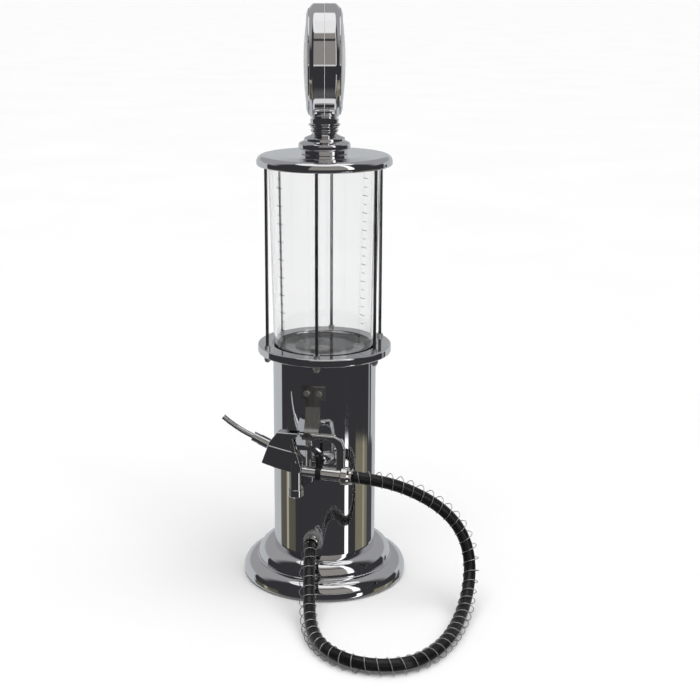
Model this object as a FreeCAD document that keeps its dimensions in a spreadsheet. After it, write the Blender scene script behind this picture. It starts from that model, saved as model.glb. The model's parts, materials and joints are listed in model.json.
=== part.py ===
import FreeCAD, Part
import math
import os
import re
import Sketcher
from FreeCAD import Placement, Rotation, Vector

# Pump-style drinks dispenser. Millimetres, +Z up, origin at the middle of the base's underside.
# The nozzle, its hanger and the hose gland are on the -Y side.

SIZES = {
    # base
    "base_radius": 71.7, "base_step_radius": 59.0, "base_step_top": 15.8, "base_top": 29.5,
    "base_wall": 2.6, "base_under": 0.8, "base_round": 12.4, "base_low_round": 9.8,
    "base_foot_round": 3.0,
    "base_hollow_radius": 66.0, "base_bore": 10.0,
    "foot_ring_outer": 64.0, "foot_ring_inner": 54.0, "foot_ring_thick": 1.6,
    "base_plate_thick": 1.6, "base_plate_hole": 6.0,
    "ballast_outer": 47.0, "ballast_shoulder": 41.0, "ballast_inner": 12.0, "ballast_thick": 10.0,
    "ballast_top": 20.0,
    # column
    "column_radius": 44.6, "column_wall": 1.2, "column_top": 204.5,
    "end_ring_inner": 27.0, "end_ring_thick": 9.0, "end_ring_gap": 0.1,
    "base_screw_circle": 36.0, "deck_screw_circle": 30.5,
    # deck
    "deck_radius": 57.7, "deck_thick": 7.0, "deck_round": 1.2, "deck_hole": 26.0,
    "deck_recess_radius": 45.2, "deck_recess_floor": 2.2,
    # reservoir
    "glass_low_radius": 43.7, "glass_high_radius": 47.5, "glass_wall": 2.5, "glass_floor": 2.5,
    "glass_top": 368.0, "gasket_thick": 1.0, "low_gasket_inner": 35.0, "outlet_offset": 16.0,
    # rods
    "rod_radius": 1.35, "rod_circle": 53.0, "rod_low": 200.4, "rod_high": 371.0, "rod_count": 6,
    "first_rod_angle": -84.7, "collar_radius": 2.7, "collar_tall": 2.4, "nut_radius": 3.1, "nut_tall": 3.0,
    # lid and cap
    "lid_radius": 57.5, "lid_under": 366.7, "lid_top": 376.0, "lid_plate": 4.0, "lid_round": 5.4,
    "lid_shoulder": 374.9, "lid_flat_radius": 38.0,
    "lid_foot_round": 1.4, "lid_rim_inner": 49.5, "filler_hole": 15.0, "bush_inner": 13.3,
    "plug_radius": 13.0, "plug_tall": 12.0, "cap_radius": 19.6, "cap_low": 376.1, "cap_high": 380.2,
    # globe
    "globe_height": 452.5, "globe_radius": 47.5, "globe_turn": 12.4, "globe_rim_half": 9.4,
    # hanger and gland
    "hanger_height": 178.5, "hanger_head_wide": 20.8, "hanger_head_tall": 11.5, "hanger_strip_wide": 12.8,
    "hanger_thick": 1.3, "hanger_screw_apart": 10.5, "gland_height": 46.0, "gland_radius": 8.5,
    # hose
    "hose_radius": 5.0, "spring_outer": 7.5, "spring_inner": 6.7,
    # nozzle
    "nozzle_forward": 62.0, "handle_radius": 4.6, "sleeve_radius": 5.9, "spout_radius": 2.25,
    "collar_fat_radius": 4.5, "housing_radius": 6.3, "housing_x": -11.2, "housing_low": 99.6, "housing_taper": 123.4,
    "body_upper_half": 5.0, "body_lower_half": 5.7, "guard_half": 2.9,
    "trigger_half": 1.9, "pivot_x": 8.6, "pivot_z": 131.0, "stem_radius": 1.4,
}

# The middle line of the hose, from the ferrule's face to the hose nut's face.
HOSE_ROUTE = [
    (0, -56, 46), (2, -69, 43.5), (5, -83, 36), (8.5, -99, 25), (13, -117, 14), (19, -136, 8.5),
    (28.5, -154, 7.6), (43, -170, 7.6), (63, -180.5, 7.6), (86, -181, 7.6), (105.5, -172, 7.6),
    (119, -155, 7.8), (128, -132, 8.4), (133, -107, 10), (135.5, -83, 13.5), (137, -63, 21),
    (136.5, -46, 35), (132, -38.5, 53), (122, -38, 71), (106.5, -42, 86.5), (88, -48, 98.5),
    (70, -54, 106.5), (53, -60, 111.3), (37.5, -62, 113.2),
]

doc = FreeCAD.newDocument("drinks_dispenser")
nodes = {}


def fill_sheet():
    """Put the driving sizes into the spreadsheet, one alias a row."""
    sheet = doc.addObject("Spreadsheet::Sheet", "Sizes")
    for row, (name, value) in enumerate(SIZES.items(), start=1):
        sheet.set(f"A{row}", name)
        sheet.set(f"B{row}", str(value))
        sheet.setAlias(f"B{row}", name)
    doc.recompute()
    return sheet


sheet = fill_sheet()


def size(name):
    """A driving size, read back from the sheet."""
    return float(getattr(sheet, name))


def bound(text):
    """The same expression with every size's name pointing into the sheet."""
    return re.sub(r"[a-z][a-z_]*", lambda found: "Sizes." + found.group(), text)


def worked_out(text):
    """The value that an expression over the sizes has now."""
    answer = sheet.evalExpression(bound(text))
    return float(getattr(answer, "Value", answer))


def keep(name, item):
    """Name a finished piece; its label is its node's name."""
    item.Label = name
    nodes[name] = item
    return item


def along_axis(start, direction):
    """A placement whose local Z points along direction."""
    return Placement(Vector(*start), Rotation(Vector(0, 0, 1), Vector(*direction)))


# ---- ways of making pieces ----


def turned(name, profile, rounds=(), where=Placement()):
    """A body of revolution about its local Z from (radius, height) expressions.

    rounds lists (corner number, fillet radius expression)."""
    body = doc.addObject("PartDesign::Body", name)
    plane = next(item for item in body.Origin.OriginFeatures if item.Role == "XZ_Plane")
    sketch = body.newObject("Sketcher::SketchObject", name + "_profile")
    sketch.AttachmentSupport = (plane, [""])
    sketch.MapMode = "FlatFace"
    corners = [(worked_out(radius), worked_out(height)) for radius, height in profile]
    count = len(corners)
    for index in range(count):
        start, end = corners[index], corners[(index + 1) % count]
        sketch.addGeometry(Part.LineSegment(Vector(*start, 0), Vector(*end, 0)), False)
    for index in range(count):
        sketch.addConstraint(Sketcher.Constraint("Coincident", index, 2, (index + 1) % count, 1))
    for index, (radius, height) in enumerate(profile):
        pin_corner(sketch, index, "DistanceX", radius, corners[index][0], -2)
        pin_corner(sketch, index, "DistanceY", height, corners[index][1], -1)
    turn = body.newObject("PartDesign::Revolution", name + "_turned")
    turn.Profile = sketch
    turn.ReferenceAxis = (sketch, ["V_Axis"])
    turn.Angle = 360
    doc.recompute()
    last = turn
    for number, (corner, radius) in enumerate(rounds):
        last = rounded(body, last, corners[corner], radius, f"{name}_round_{number}")
    body.Placement = where
    return body


def pin_corner(sketch, index, kind, text, value, axis):
    """Bind one coordinate of a sketch corner to the sheet."""
    if abs(value) < 1e-6:
        sketch.addConstraint(Sketcher.Constraint("PointOnObject", index, 1, axis))
        return
    number = sketch.addConstraint(Sketcher.Constraint(kind, -1, 1, index, 1, value))
    sketch.setExpression(f"Constraints[{number}]", bound(text))


def rounded(body, base, corner, radius, name):
    """Fillet the circular edge through one corner of the profile."""
    near = 1e-3
    found = [
        f"Edge{number}"
        for number, edge in enumerate(base.Shape.Edges, start=1)
        if edge.Curve.TypeId == "Part::GeomCircle"
        and abs(edge.Curve.Radius - corner[0]) < near
        and abs(edge.Curve.Center.z - corner[1]) < near
    ]
    fillet = body.newObject("PartDesign::Fillet", name)
    fillet.Base = (base, found)
    fillet.setExpression("Radius", bound(radius))
    doc.recompute()
    return fillet


def cylinder(radius, height, where=Placement(), name="cylinder"):
    """A Part cylinder whose radius and height are expressions over the sheet."""
    item = doc.addObject("Part::Cylinder", name)
    item.setExpression("Radius", bound(radius))
    item.setExpression("Height", bound(height))
    item.Placement = where
    return item


def cut(base, tools, name="cut"):
    """The base without the tools."""
    item = doc.addObject("Part::Cut", name)
    item.Base = base
    item.Tool = tools[0] if len(tools) == 1 else fused(tools, name + "_tools")
    return item


def fused(items, name="fused"):
    item = doc.addObject("Part::MultiFuse", name)
    item.Shapes = items
    return item


def grouped(name, items):
    """Separate solids in one node."""
    item = doc.addObject("Part::Compound", name)
    item.Links = items
    return keep(name, item)


def shaped(name, shape, where=Placement()):
    """A piece whose shape comes from Part's own functions."""
    item = doc.addObject("Part::Feature", name)
    item.Shape = shape
    item.Placement = where
    return item


def tube(name, outer, inner, low, high):
    """An upright tube about the Z axis, made of two cylinders."""
    tall = f"({high}) - ({low})"
    where = Placement(Vector(0, 0, worked_out(low)), Rotation())
    return cut(cylinder(outer, tall, where), [cylinder(inner, tall, where)], name)


def around(radius, start_degrees, count):
    """Evenly spaced places on a circle."""
    for number in range(count):
        angle = math.radians(start_degrees + number * 360 / count)
        yield radius * math.cos(angle), radius * math.sin(angle)


def upright(x, y, z):
    return Placement(Vector(x, y, z), Rotation())


def prism(outline, near, far):
    """An outline of (x, z) points, extruded from y = near to y = far."""
    corners = [Vector(x, near, z) for x, z in outline]
    face = Part.Face(Part.makePolygon(corners + corners[:1]))
    return face.extrude(Vector(0, far - near, 0))


def edges_along_y(shape):
    """The straight edges of a prism that run along Y."""
    return [
        edge for edge in shape.Edges
        if edge.Curve.TypeId == "Part::GeomLine" and abs(abs(edge.Curve.Direction.y) - 1) < 1e-6
    ]


def rounded_path(route):
    """Straight runs joined by arcs as large as their two runs allow."""
    share = 0.45
    points = [Vector(*place) for place in route]
    edges = []
    radii = []
    last = points[0]
    for before, corner, after in zip(points, points[1:], points[2:]):
        come, leave = corner - before, after - corner
        half_turn = come.getAngle(leave) / 2
        reach = share * min(come.Length, leave.Length)
        radius = reach / math.tan(half_turn)
        come.normalize()
        leave.normalize()
        first, second = corner - come * reach, corner + leave * reach
        inward = (leave - come).normalize()
        middle = corner + inward * (radius / math.cos(half_turn) - radius)
        edges.append(Part.LineSegment(last, first).toShape())
        edges.append(Part.Arc(first, middle, second).toShape())
        radii.append(radius)
        last = second
    edges.append(Part.LineSegment(last, points[-1]).toShape())
    return Part.Wire(edges), radii


def swept(path, radius):
    """A round bar along a path."""
    start = path.Edges[0]
    direction = start.tangentAt(start.FirstParameter)
    circle = Part.Wire(Part.makeCircle(radius, start.valueAt(start.FirstParameter), direction))
    return path.makePipeShell([circle], True, False)


# ---- base ----


def make_base():
    shell = turned(
        "base_casting",
        [
            ("base_hollow_radius", "base_under"),
            ("base_radius", "base_under"),
            ("base_radius", "base_step_top"),
            ("base_step_radius", "base_step_top"),
            ("base_step_radius", "base_top"),
            ("base_bore", "base_top"),
            ("base_bore", "base_top - base_wall"),
            ("base_step_radius - base_wall - base_round", "base_top - base_wall"),
            ("base_step_radius - base_wall - base_round", "base_step_top - base_wall"),
            ("base_hollow_radius", "base_step_top - base_wall - base_round / 2"),
        ],
        [(1, "base_foot_round"), (2, "base_low_round"), (4, "base_round"), (3, "0.9")],
    )
    web = size("base_top") - size("base_wall")
    holes = [
        cylinder("1.6", "base_wall + 2", upright(x, y, web - 1))
        for x, y in around(size("base_screw_circle"), 30, 3)
    ]
    keep("base_shell", cut(shell, holes, "base_shell"))
    keep("foot_ring", tube("foot_ring", "foot_ring_outer", "foot_ring_inner", "0", "foot_ring_thick"))
    plate_top = "foot_ring_thick + base_plate_thick"
    plate = tube("base_plate", "base_hollow_radius - 0.2", "base_plate_hole", "foot_ring_thick", plate_top)
    keep("base_plate", plate)
    weight = turned(
        "ballast_weight",
        [
            ("ballast_inner", plate_top),
            ("ballast_outer", plate_top),
            ("ballast_outer", "ballast_thick"),
            ("ballast_shoulder", "ballast_thick + 3"),
            ("ballast_shoulder", "ballast_top"),
            ("ballast_inner", "ballast_top"),
        ],
        [(4, "1.5")],
    )
    keep("ballast_weight", weight)
    screws = []
    for x, y in around(size("base_screw_circle"), 30, 3):
        head = cylinder("2.9", "1.9", upright(x, y, web - 1.9))
        shank = cylinder("1.5", "base_wall + 6", upright(x, y, web - 0.5))
        screws.append(fused([head, shank], "base_screw"))
    grouped("base_screws", screws)


# ---- column ----


def make_column():
    low, high = size("base_top"), size("column_top")
    blank = tube("column_blank", "column_radius", "column_radius - column_wall", "base_top", "column_top")
    front = -size("column_radius") - 2
    outward = (0, 1, 0)
    tools = [cylinder("5.6", "8", along_axis((0, front, size("gland_height")), outward))]
    for side in (-0.5, 0.5):
        spot = (side * size("hanger_screw_apart"), front, size("hanger_height"))
        tools.append(cylinder("1.6", "8", along_axis(spot, outward)))
    keep("column_tube", cut(blank, tools, "column_tube"))
    fit = "column_radius - column_wall - end_ring_gap"
    foot = tube("foot_blank", fit, "end_ring_inner + 4", "base_top", "base_top + end_ring_thick - 2.5")
    holes = [
        cylinder("1.5", "end_ring_thick + 2", upright(x, y, low - 1))
        for x, y in around(size("base_screw_circle"), 30, 3)
    ]
    keep("column_foot_ring", cut(foot, holes, "column_foot_ring"))
    head = tube("head_blank", fit, "end_ring_inner", "column_top - end_ring_thick", "column_top")
    holes = [
        cylinder("1.5", "end_ring_thick + 2", upright(x, y, high - size("end_ring_thick") - 1))
        for x, y in around(size("deck_screw_circle"), 30, 3)
    ]
    keep("column_head_ring", cut(head, holes, "column_head_ring"))


# ---- deck, rods and lid ----


def deck_screw(x, y, gap):
    """A countersunk screw through the deck's floor; gap makes it the hole that it needs."""
    top = size("column_top") + size("deck_recess_floor")
    head_radius, shank_radius, head_tall = 2.8 + gap, 1.5 + gap, 1.4
    head = Part.makeCone(shank_radius, head_radius, head_tall, Vector(x, y, top - head_tall))
    shank = Part.makeCylinder(shank_radius, 9, Vector(x, y, top - 9 - gap))
    return head.fuse(shank)


def make_deck():
    under, over = "column_top", "column_top + deck_thick"
    floor_top = "column_top + deck_recess_floor"
    blank = turned(
        "deck_blank",
        [
            ("deck_hole", under),
            ("deck_radius", under),
            ("deck_radius", over),
            ("deck_recess_radius", over),
            ("deck_recess_radius", floor_top),
            ("deck_hole", floor_top),
        ],
        [(1, "deck_round"), (2, "deck_round"), (3, "0.4")],
    )
    low = size("column_top")
    tools = [
        cylinder("rod_radius + 0.05", "deck_thick + 2", upright(x, y, low - 1))
        for x, y in around(size("rod_circle"), size("first_rod_angle"), int(size("rod_count")))
    ]
    places = list(around(size("deck_screw_circle"), 30, 3))
    tools += [shaped("deck_screw_hole", deck_screw(x, y, 0.1)) for x, y in places]
    keep("deck_flange", cut(blank, tools, "deck_flange"))
    grouped("deck_screws", [shaped("deck_screw", deck_screw(x, y, 0)) for x, y in places])


def make_rods():
    deck_under = size("column_top")
    deck_over = deck_under + size("deck_thick")
    collars, nuts = [], []
    places = around(size("rod_circle"), size("first_rod_angle"), int(size("rod_count")))
    for number, (x, y) in enumerate(places, start=1):
        name = f"tie_rod_{number}"
        keep(name, cylinder("rod_radius", "rod_high - rod_low", upright(x, y, size("rod_low")), name))
        collar = cylinder("collar_radius", "collar_tall", upright(x, y, deck_over))
        collars.append(cut(collar, [cylinder("rod_radius", "collar_tall", upright(x, y, deck_over))]))
        nuts.append(acorn_nut(x, y, deck_under))
    grouped("rod_collars", collars)
    grouped("rod_nuts", nuts)


def acorn_nut(x, y, top):
    """A hexagon with a domed end underneath."""
    hexagon = doc.addObject("Part::Prism", "nut_hexagon")
    hexagon.Polygon = 6
    hexagon.setExpression("Circumradius", bound("nut_radius"))
    hexagon.setExpression("Height", bound("nut_tall"))
    hexagon.Placement = upright(x, y, top - size("nut_tall"))
    dome = doc.addObject("Part::Sphere", "nut_dome")
    dome.setExpression("Radius", bound("nut_radius * 0.82"))
    dome.Angle2 = 0
    dome.Placement = upright(x, y, top - size("nut_tall"))
    bore = cylinder("rod_radius", "column_top - rod_low", upright(x, y, size("rod_low")))
    return cut(fused([hexagon, dome]), [bore], "acorn_nut")


def make_lid():
    blank = turned(
        "lid_blank",
        [
            ("filler_hole", "lid_top - lid_plate"),
            ("glass_high_radius - 4", "lid_top - lid_plate"),
            ("glass_high_radius - 4", "glass_top + gasket_thick"),
            ("lid_rim_inner", "glass_top + gasket_thick"),
            ("lid_rim_inner", "lid_under"),
            ("lid_radius", "lid_under"),
            ("lid_radius", "lid_shoulder"),
            ("lid_flat_radius", "lid_top"),
            ("filler_hole", "lid_top"),
        ],
        [(5, "lid_foot_round"), (6, "lid_round")],
    )
    tools = [
        cylinder("rod_radius + 0.05", "rod_high - lid_under + 1", upright(x, y, size("lid_under") - 1))
        for x, y in around(size("rod_circle"), size("first_rod_angle"), int(size("rod_count")))
    ]
    keep("lid", cut(blank, tools, "lid"))
    bush = turned(
        "filler_bush",
        [
            ("bush_inner", "lid_top - lid_plate - 1.4"),
            ("filler_hole + 2.2", "lid_top - lid_plate - 1.4"),
            ("filler_hole + 2.2", "lid_top - lid_plate"),
            ("filler_hole", "lid_top - lid_plate"),
            ("filler_hole", "lid_top - 0.1"),
            ("bush_inner", "lid_top - 0.1"),
        ],
    )
    keep("filler_bush", bush)


# ---- reservoir and its outlet ----


def make_reservoir():
    under = "column_top + deck_recess_floor + gasket_thick"
    floor_top = under + " + glass_floor"
    blank = turned(
        "reservoir_blank",
        [
            ("0", under),
            ("glass_low_radius", under),
            ("glass_high_radius", "glass_top"),
            ("glass_high_radius - glass_wall", "glass_top"),
            ("glass_low_radius - glass_wall", floor_top + " + 1.2"),
            ("glass_low_radius - glass_wall - 2.4", floor_top),
            ("glass_low_radius / 2 + 4", floor_top + " - 0.7"),
            ("0", floor_top + " - 0.7"),
        ],
        [(1, "0.8")],
    )
    outlet_y = -size("outlet_offset")
    low = worked_out(under)
    hole = cylinder("5", "glass_floor + 2", upright(0, outlet_y, low - 1))
    keep("reservoir", cut(blank, [hole], "reservoir"))
    gasket_low = "column_top + deck_recess_floor"
    lower = tube("reservoir_lower_gasket", "glass_low_radius - 0.4", "low_gasket_inner", gasket_low, under)
    keep("reservoir_lower_gasket", lower)
    inner = "glass_high_radius - glass_wall - 0.3"
    top = "glass_top + gasket_thick"
    keep("reservoir_upper_gasket", tube("upper_gasket", "glass_high_radius", inner, "glass_top", top))
    make_outlet(outlet_y, low)


def make_outlet(y, glass_under):
    """The bulkhead fitting in the reservoir's floor, with its nut and the tube down to the gland."""
    floor_top = glass_under + size("glass_floor") - 0.7
    head = Part.makeCylinder(8, 1.8, Vector(0, y, floor_top))
    shank = Part.makeCylinder(4.9, 12, Vector(0, y, floor_top - 12))
    barb = Part.makeCylinder(2.4, 14, Vector(0, y, floor_top - 25))
    bore = Part.makeCylinder(1.6, 30, Vector(0, y, floor_top - 26))
    keep("outlet_fitting", shaped("outlet_fitting", head.fuse([shank, barb]).cut(bore)))
    nut = doc.addObject("Part::Prism", "outlet_nut_blank")
    nut.Polygon = 6
    nut.Circumradius = 8
    nut.Height = 4
    nut.Placement = upright(0, y, glass_under - 4.1)
    hole = cylinder("4.9", "6", upright(0, y, glass_under - 5))
    keep("outlet_nut", cut(nut, [hole], "outlet_nut"))
    gland_z = size("gland_height")
    top = floor_top - 12.5
    route = [
        (0, y, top), (0, y, 110), (0, y - 1.0, 70), (0, y - 5, 52), (0, y - 13, gland_z), (0, -36, gland_z),
    ]
    path, _ = rounded_path(route)
    outside = swept(path, 3.6)
    keep("inner_tube", shaped("inner_tube", outside.cut(swept(path, 2.4))))
    clip_low = Part.makeCylinder(4.7, 4, Vector(0, y, top - 7))
    clip_high = clip_low.cut(Part.makeCylinder(3.8, 4, Vector(0, y, top - 7)))
    ring = Part.makeCylinder(4.7, 4, Vector(0, -34.8, gland_z), Vector(0, 1, 0))
    clip_end = ring.cut(Part.makeCylinder(3.8, 4, Vector(0, -34.8, gland_z), Vector(0, 1, 0)))
    keep("tube_clips", shaped("tube_clips", Part.makeCompound([clip_high, clip_end])))


# ---- filler cap and globe ----


def make_cap():
    plug = turned(
        "filler_plug",
        [
            ("2.1", "cap_low - plug_tall"),
            ("plug_radius - 1.5", "cap_low - plug_tall"),
            ("plug_radius", "cap_low - plug_tall + 1.5"),
            ("plug_radius", "cap_low - 6.2"),
            ("plug_radius - 1.6", "cap_low - 6.2"),
            ("plug_radius - 1.6", "cap_low - 3.8"),
            ("plug_radius", "cap_low - 3.8"),
            ("plug_radius", "cap_low"),
            ("2.1", "cap_low"),
        ],
    )
    keep("filler_plug", plug)
    ring = doc.addObject("Part::Torus", "plug_seal")
    ring.setExpression("Radius1", bound("plug_radius - 0.85"))
    ring.Radius2 = 0.75 + 0.25
    ring.Placement = upright(0, 0, size("cap_low") - 5)
    keep("plug_seal", ring)
    base = turned(
        "cap_base",
        [("2.1", "cap_low"), ("cap_radius", "cap_low"), ("cap_radius", "cap_high"), ("2.1", "cap_high")],
        [(1, "0.6"), (2, "0.8")],
    )
    keep("cap_base", base)
    low = size("cap_low") - size("plug_tall")
    head = Part.makeCylinder(4, 2.4, Vector(0, 0, low - 2.4))
    shank = Part.makeCylinder(2, 30, Vector(0, 0, low - 1))
    keep("neck_screw", shaped("neck_screw", head.fuse(shank)))


def globe_place():
    """The globe's own Z is its disc's axis, which lies level."""
    turn = math.radians(size("globe_turn"))
    return along_axis((0, 0, size("globe_height")), (math.cos(turn), math.sin(turn), 0))


def make_neck():
    blank = turned(
        "neck_blank",
        [
            ("2.1", "cap_high + 0.2"),
            ("21.9", "cap_high + 0.2"),
            ("21.9", "cap_high + 5"),
            ("17.4", "cap_high + 6.9"),
            ("17", "cap_high + 9.4"),
            ("12.4", "cap_high + 11.2"),
            ("10.4", "cap_high + 12.6"),
            ("10.4", "cap_high + 14"),
            ("11.6", "cap_high + 14.4"),
            ("11.6", "cap_high + 16.4"),
            ("10.6", "cap_high + 16.8"),
            ("10.6", "cap_high + 17.4"),
            ("11.9", "cap_high + 17.8"),
            ("11.9", "cap_high + 19"),
            ("13.3", "cap_high + 19.8"),
            ("13.3", "cap_high + 20.8"),
            ("11.7", "cap_high + 21.4"),
            ("12.4", "cap_high + 29.7"),
            ("0", "cap_high + 29.7"),
            ("0", "cap_high + 15"),
            ("2.1", "cap_high + 15"),
        ],
        [
            (1, "1"), (2, "2.2"), (3, "0.6"), (4, "1.3"), (5, "0.8"), (8, "0.5"), (9, "0.7"), (13, "0.4"),
        ],
    )
    half = size("globe_rim_half") + 6
    globe = cylinder("globe_radius + 0.05", str(2 * half), globe_place())
    globe.Placement = globe_place().multiply(upright(0, 0, -half))
    keep("finial_neck", cut(blank, [globe], "finial_neck"))


def dome_face(edge_radius, edge_height, top_height, thick):
    """A shallow domed disc about its local Z, cut from a hollow ball."""
    rise = top_height - edge_height
    ball_radius = (edge_radius**2 + rise**2) / (2 * rise)
    middle = Vector(0, 0, top_height - ball_radius)
    ball = Part.makeSphere(ball_radius, middle).cut(Part.makeSphere(ball_radius - thick, middle))
    return ball.common(Part.makeCylinder(edge_radius, 12, Vector(0, 0, edge_height - 4)))


def make_globe():
    flip = Placement(Vector(0, 0, 0), Rotation(Vector(1, 0, 0), 180))
    for side, extra in (("right", Placement()), ("left", flip)):
        where = globe_place().multiply(extra)
        shell = turned(
            f"globe_shell_{side}",
            [
                ("globe_radius - 2", "0.1"),
                ("globe_radius", "0.1"),
                ("globe_radius", "globe_rim_half"),
                ("globe_radius - 2.9", "globe_rim_half + 3"),
                ("globe_radius - 5", "globe_rim_half + 3"),
                ("globe_radius - 5", "globe_rim_half + 1"),
                ("globe_radius - 2", "globe_rim_half - 1.6"),
            ],
            [(1, "0.12"), (2, "3"), (3, "0.7")],
            where,
        )
        keep(f"globe_shell_{side}", shell)
        bezel = turned(
            f"globe_bezel_{side}",
            [
                ("globe_radius - 7", "globe_rim_half - 2"),
                ("globe_radius - 5.2", "globe_rim_half - 2"),
                ("globe_radius - 5.2", "globe_rim_half + 3.1"),
                ("globe_radius - 3.6", "globe_rim_half + 3.1"),
                ("globe_radius - 3.6", "globe_rim_half + 4.1"),
                ("globe_radius - 8.2", "globe_rim_half + 5.6"),
                ("globe_radius - 10.4", "globe_rim_half + 5.6"),
                ("globe_radius - 10.4", "globe_rim_half + 3.8"),
                ("globe_radius - 7", "globe_rim_half + 3"),
            ],
            [(4, "0.6"), (5, "0.9"), (6, "0.5")],
            where,
        )
        keep(f"globe_bezel_{side}", bezel)
        rim = size("globe_radius") - 10.5
        edge = size("globe_rim_half") + 5.4
        face = dome_face(rim, edge, edge + 2.6, 1.4)
        keep(f"globe_face_{side}", shaped(f"globe_face_{side}", face, where))


# ---- hanger, gland and hose ----


def make_hanger():
    radius, thick = size("column_radius"), size("hanger_thick")
    height = size("hanger_height")
    half_head, half_strip = size("hanger_head_wide") / 2, size("hanger_strip_wide") / 2
    head_low, head_high = height - size("hanger_head_tall") / 2, height + size("hanger_head_tall") / 2
    bend_top = height - 12
    skin = Part.makeCylinder(radius + thick, 60, Vector(0, 0, height - 40))
    skin = skin.cut(Part.makeCylinder(radius, 60, Vector(0, 0, height - 40)))
    head = Part.makeBox(2 * half_head, 20, head_high - head_low, Vector(-half_head, -radius - 10, head_low))
    strip_tall = head_low - bend_top
    strip = Part.makeBox(2 * half_strip, 20, strip_tall, Vector(-half_strip, -radius - 10, bend_top))
    plate = skin.common(head.fuse(strip))
    hook = hook_strip(-radius - thick / 2, bend_top, thick, half_strip)
    half_apart = size("hanger_screw_apart") / 2
    screw_holes = [
        Part.makeCylinder(1.6, 10, Vector(side * half_apart, -radius - 5, height), Vector(0, 1, 0))
        for side in (-1, 1)
    ]
    keep("hanger_bracket", shaped("hanger_bracket", plate.fuse(hook).removeSplitter().cut(screw_holes)))
    make_hanger_screws(-radius - thick, height)


def hook_strip(back, top, thick, half_wide):
    """The strip that leaves the column, dips under the guard bar and turns up in front of it."""
    forward = -size("nozzle_forward")
    bed = 144.2
    tip_y = forward - 5.3
    path, _ = rounded_path(
        [
            (0, back, top), (0, back - 1.6, top - 10), (0, back - 6.6, top - 19), (0, forward + 3.9, bed),
            (0, forward - 3.4, bed), (0, tip_y, bed + 3), (0, tip_y, bed + 6.8),
        ]
    )
    corners = [
        Vector(side * half_wide, back + depth * thick / 2, top)
        for side, depth in ((-1, -1), (1, -1), (1, 1), (-1, 1), (-1, -1))
    ]
    strip = path.makePipeShell([Part.makePolygon(corners)], True, False)
    tip_half = 4.9
    far = forward - 20
    wide_part = Part.makeBox(2 * half_wide, 60, top - bed + 8, Vector(-half_wide, forward + 1, bed - 4))
    tip_part = Part.makeBox(2 * tip_half, 21, 5.8, Vector(-tip_half, far, bed - 4))
    tip_end = Part.makeCylinder(tip_half, 21, Vector(0, far, bed + 1.8), Vector(0, 1, 0))
    return strip.common(wide_part.fuse([tip_part, tip_end]))


def make_hanger_screws(face_y, height):
    screws = []
    for side in (-0.5, 0.5):
        x = side * size("hanger_screw_apart")
        seat = face_y + 0.02
        head = Part.makeCylinder(2.7, 1.7, Vector(x, seat, height), Vector(0, -1, 0))
        rim = [
            edge for edge in head.Edges
            if abs(edge.BoundBox.YMin - (seat - 1.7)) < 1e-3 and edge.BoundBox.YLength < 1e-3
        ]
        head = head.makeFillet(0.8, rim)
        shank = Part.makeCylinder(1.45, 7, Vector(x, seat - 0.2, height), Vector(0, 1, 0))
        slot = Part.makeBox(3.0, 1.0, 0.62, Vector(x - 1.5, seat - 1.8, height - 0.31))
        other = Part.makeBox(0.62, 1.0, 3.0, Vector(x - 0.31, seat - 1.8, height - 1.5))
        screws.append(head.fuse(shank).cut([slot, other]))
    keep("hanger_screws", shaped("hanger_screws", Part.makeCompound(screws)))


def make_gland():
    z = size("gland_height")
    outward = Vector(0, -1, 0)
    radius = size("column_radius")
    disc = Part.makeCylinder(size("gland_radius"), radius + 3.2 - 40, Vector(0, -40, z), outward)
    disc = disc.cut(Part.makeCylinder(radius, 60, Vector(0, 0, z - 30)))
    rim = [
        edge for edge in disc.Edges
        if edge.BoundBox.YMax < -radius - 3.1 and edge.BoundBox.YLength < 1e-3
    ]
    disc = disc.makeFillet(0.9, rim)
    neck = Part.makeCylinder(5.5, 11, Vector(0, -36.2, z), outward)
    bore = Part.makeCylinder(2.6, 20, Vector(0, -30, z), outward)
    keep("hose_gland", shaped("hose_gland", disc.fuse(neck).cut(bore)))
    nut = doc.addObject("Part::Prism", "gland_nut_blank")
    nut.Polygon = 6
    nut.Circumradius = 8.6
    nut.Height = 3
    nut.Placement = along_axis((0, -38.6, z), (0, -1, 0))
    hole = cylinder("5.5", "8", along_axis((0, -36, z), (0, -1, 0)))
    keep("gland_nut", cut(nut, [hole], "gland_nut"))
    ferrule = turned(
        "lower_ferrule",
        [
            ("2.6", "0"), ("5.9", "0"), ("5.9", "2"), ("5.4", "2.6"), ("5.4", "5.4"), ("6.3", "6"),
            ("6.3", "8.2"), ("5.5", "8.2"), ("5.5", "6.4"), ("2.6", "6.4"),
        ],
        [(1, "0.3"), (6, "0.3")],
        along_axis((0, -radius - 3.2, z), (0, -1, 0)),
    )
    keep("lower_ferrule", ferrule)


def make_hose():
    path, radii = rounded_path(HOSE_ROUTE)
    radius = size("hose_radius")
    hose = swept(path, radius)
    keep("supply_hose", shaped("supply_hose", hose))
    print("hose radii", [round(value) for value in radii], "length", round(path.Length, 1))
    print("hose volume share", round(hose.Volume / (math.pi * radius**2 * path.Length), 4))
    sleeve = swept(path, size("spring_outer")).cut(swept(path, size("spring_inner")))
    first, last = Vector(*HOSE_ROUTE[0]), Vector(*HOSE_ROUTE[-1])
    trimmed = sleeve
    for place, other in ((first, Vector(*HOSE_ROUTE[1])), (last, Vector(*HOSE_ROUTE[-2]))):
        inward = (other - place).normalize()
        trimmed = trimmed.cut(Part.makeCylinder(16, 5, place - inward * 3.5, inward))
    keep("hose_spring", shaped("hose_spring", trimmed))


# ---- nozzle ----


def handle_line():
    """Where the handle's axis starts, and its direction: level with a slight fall to the hose."""
    start = Vector(-6, -size("nozzle_forward"), 115.0)
    end = Vector(37.5, -size("nozzle_forward"), 113.2)
    return start, (end - start).normalize()


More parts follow.
